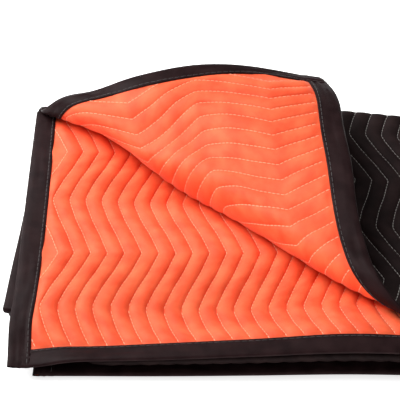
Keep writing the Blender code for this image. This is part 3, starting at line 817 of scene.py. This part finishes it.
# ---------------------------------------------------------------- the pad
def make_covers(weave):
    orange = cloth_material(
        "orange cover cloth", weave,
        dark=(0.84, 0.066, 0.009), light=(0.93, 0.124, 0.034),
        roughness=0.65, gloss=0.40, sheen=0.16, tint=(1.0, 0.66, 0.52),
        threads=1400, relief=0.00012)
    black = cloth_material(
        "black cover cloth", weave,
        dark=(0.0095, 0.0046, 0.0046), light=(0.0180, 0.0090, 0.0088),
        roughness=0.7, gloss=0.09, sheen=0.012, tint=(0.7, 0.5, 0.5),
        threads=1400, relief=0.00012)
    peach = thread_material("peach quilting thread", (1.0, 0.40, 0.23))
    white = thread_material("grey white quilting thread", (0.42, 0.39, 0.37))

    orange_cover = make_cover("orange_cover", 1, ORANGE_PATCHES, orange)
    black_cover = make_cover("black_cover", -1, BLACK_PATCHES, black)
    on_orange, on_black, beneath = (
        make_thread(name, quilting_stitches(side, spans, radius), material, radius)
        for name, side, spans, material, slot, radius in (
            ("thread_on_orange", 1, ORANGE_SPANS, peach, "orange_cloth", 0.00064),
            ("thread_on_black", -1, BLACK_SPANS, white, "black_cloth", 0.00052),
            ("thread_beneath", -1, BENEATH_SPANS, white, "black_cloth", 0.00040),
        )
    )
    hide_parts("orange_face")
    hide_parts("black_face")


def make_bindings(weave):
    tape = cloth_material(
        "charcoal binding tape", weave,
        dark=(0.0106, 0.0041, 0.0045), light=(0.0204, 0.0092, 0.0097),
        roughness=0.45, gloss=0.05, sheen=0.004, tint=(0.85, 0.6, 0.62),
        threads=1100, relief=0.00010)
    thread = thread_material("dark binding thread", (0.036, 0.030, 0.030))
    turned = [(first, last, TURN_STEP) for first, last in TURNS]
    side_places = stations_along(0.0, PAD_LENGTH, turned + [ROLL_STATIONS])
    end_places = stations_along(BINDING_WIDTH - END_OVERLAP,
                                PAD_WIDTH - BINDING_WIDTH + END_OVERLAP, [FOLD_STATIONS])
    side = (side_places, ends_under, SIDE_SEAM)
    end = (end_places, nothing_under, END_SEAM)
    table = (
        ("side_binding_upper", side, lambda at, inward: (inward, at), True),
        ("side_binding_lower", side, lambda at, inward: (PAD_WIDTH - inward, at), False),
        ("end_binding_front", end, lambda at, inward: (at, inward), False),
        ("end_binding_back", end, lambda at, inward: (at, PAD_LENGTH - inward), True),
    )
    for node, (places, over, seam), place, flip in table:
        words = node.replace("binding", "tape")
        piece = make_binding(words, places, place, over, tape, flip)
        centres = tape_stitches(place, over, *seam)
        words = node.replace("binding", "stitches")
        stitches = make_thread(words, centres, thread, 0.00042)
        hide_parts(node)


# ---------------------------------------------------------------- floor, light and camera
FLOOR_SIZE = 6
FLOOR_DROP = 0.0002                 # under the pad
FLOOR_GLOW = 0.7                    # its own light, for a ground as white as the photograph's
SURROUND_LIGHT = 0.28
LIGHTS = (                          # (name, place, aim, size, watts)
    ("left soft light", (-1.8, 1.0, 1.8), (0, 0, 0), 2.0, 118),
    ("low front light", (0.3, -2.2, 0.16), (0.2, -0.2, 0.03), 0.3, 18),
    ("high soft light", (0.5, -0.3, 2.6), (0, 0, 0), 1.8, 10),
)
CAMERA_DOWN = 0.7387                # angle of its view below level
CAMERA_TURN = -0.0084               # to the right of straight back
CAMERA_DISTANCE = 2.4009
CAMERA_AIM = (0.2447, 0.3165, 0.0272)        # from the folded pad's front left corner
CAMERA_LENS = 150.45                # in millimetres, for a sensor 36 wide


def make_stage():
    bm = bmesh.new()
    bmesh.ops.create_grid(bm, x_segments=1, y_segments=1, size=FLOOR_SIZE)
    mesh = mesh_from(bm, "floor")
    mesh.materials.append(new_material("pale floor", {
        "Base Color": (0.97, 0.97, 0.97, 1),
        "Roughness": 0.9,
        "Emission Color": (1, 1, 1, 1),
        "Emission Strength": FLOOR_GLOW,
    }))
    floor = put_in_scene("floor", mesh)
    floor.location = (0, 0, -FLOOR_DROP)
    for name, place, aim, size, power in LIGHTS:
        lamp = bpy.data.lights.new(name, "AREA")
        lamp.shape = "SQUARE"
        lamp.size = size
        lamp.energy = power
        item = put_in_scene(name, lamp)
        item.location = place
        item.rotation_euler = (Vector(aim) - Vector(place)).to_track_quat("-Z", "Y").to_euler()
    world = bpy.data.worlds.new("white surroundings")
    world.use_nodes = True
    world.node_tree.nodes["Background"].inputs["Color"].default_value = (1, 1, 1, 1)
    world.node_tree.nodes["Background"].inputs["Strength"].default_value = SURROUND_LIGHT
    bpy.context.scene.world = world
    bpy.context.scene.view_settings.view_transform = "Standard"


def make_camera():
    level = math.cos(CAMERA_DOWN)
    way = Vector((math.sin(CAMERA_TURN) * level, math.cos(CAMERA_TURN) * level,
                  -math.sin(CAMERA_DOWN)))
    lens = bpy.data.cameras.new("camera")
    lens.lens = CAMERA_LENS
    lens.sensor_width = 36
    lens.clip_start = 0.05
    camera = put_in_scene("camera", lens)
    camera.location = Vector(CAMERA_AIM) - Vector(PAD_MIDDLE) - way * CAMERA_DISTANCE
    camera.rotation_euler = way.to_track_quat("-Z", "Y").to_euler()
    bpy.context.scene.camera = camera


cloth_weave = weave_group()
make_covers(cloth_weave)
make_bindings(cloth_weave)
make_stage()
make_camera()
